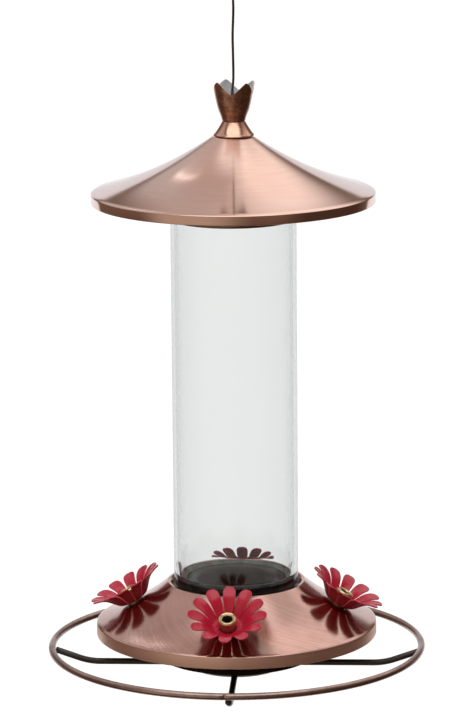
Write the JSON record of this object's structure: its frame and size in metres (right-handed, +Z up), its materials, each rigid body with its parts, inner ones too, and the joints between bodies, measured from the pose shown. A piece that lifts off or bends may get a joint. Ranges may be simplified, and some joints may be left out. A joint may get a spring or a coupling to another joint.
{
  "type": "hanging bird feeder",
  "caption": "Hanging nectar feeder with a copper roof and base, a glass reservoir that unscrews, red flower feeding ports and a round wire perch.",
  "frame": {"origin": "middle of the perch hub's flat underside, the lowest point of the feeder", "axes": "+Z up along the reservoir's axis to the hook; the feeding ports lie on +X, +Y, -X and -Y, and each perch spoke 3 degrees further round"},
  "size_m": [0.167, 0.167, 0.3329],
  "materials": {
    "copper": "brushed copper plating on sheet steel, satin, lacquered",
    "dark_copper": "darkened copper plating on sheet steel, satin",
    "perch_copper": "greyish copper plating on drawn wire, satin",
    "black_steel": "thin dark brown-black coating on drawn wire, semi-gloss",
    "zinc": "zinc-plated steel, dull",
    "brass": "turned brass, satin",
    "red_paint": "crimson semi-gloss paint on stamped sheet",
    "rubber": "matte black rubber",
    "glass": "clear moulded glass, faint green in the thick parts"
  },
  "bodies": {
    "hanger": {"hanger_wire": "black_steel"},
    "link": {"hanger_link": "black_steel"},
    "reservoir": {"eye_stud": "zinc", "finial_crown": "dark_copper", "finial_cone": "copper", "roof": "copper", "roof_spacer": "zinc", "stud_nut": "zinc", "top_cap": "dark_copper", "top_pad": "rubber", "glass_reservoir": "glass"},
    "gasket": {"base_gasket": "rubber"},
    "base": {"base_collar": "zinc", "base_cover": "copper", "nectar_tray": "dark_copper", "port_1": "brass", "port_2": "brass", "port_3": "brass", "port_4": "brass", "port_nut_1": "zinc", "port_nut_2": "zinc", "port_nut_3": "zinc", "port_nut_4": "zinc", "flower_1": "red_paint", "flower_2": "red_paint", "flower_3": "red_paint", "flower_4": "red_paint", "perch_ring": "perch_copper", "perch_hub": "black_steel", "spoke_1": "black_steel", "spoke_2": "black_steel", "spoke_3": "black_steel", "spoke_4": "black_steel"}
  },
  "joints": [
    {"name": "swing_side", "type": "hinge", "parent": "hanger", "child": "link", "pos_m": [0, 0, 0.25285], "axis": [0, 1, 0], "range_deg": [-24, 24]},
    {"name": "swing_fore_aft", "type": "hinge", "parent": "link", "child": "reservoir", "pos_m": [0, 0, 0.249], "axis": [1, 0, 0], "range_deg": [-24, 24]},
    {"name": "base_drop", "type": "slide", "parent": "reservoir", "child": "gasket", "axis": [0, 0, -1], "range_m": [0, 0.00601]},
    {"name": "base_unscrew", "type": "hinge", "parent": "gasket", "child": "base", "pos_m": [0, 0, 0.03], "axis": [0, 0, -1], "range_deg": [0, 540]}
  ],
  "couplings": [
    {"joint": "base_drop", "follows": "base_unscrew", "m_per_rad": 0.00063662}
  ]
}
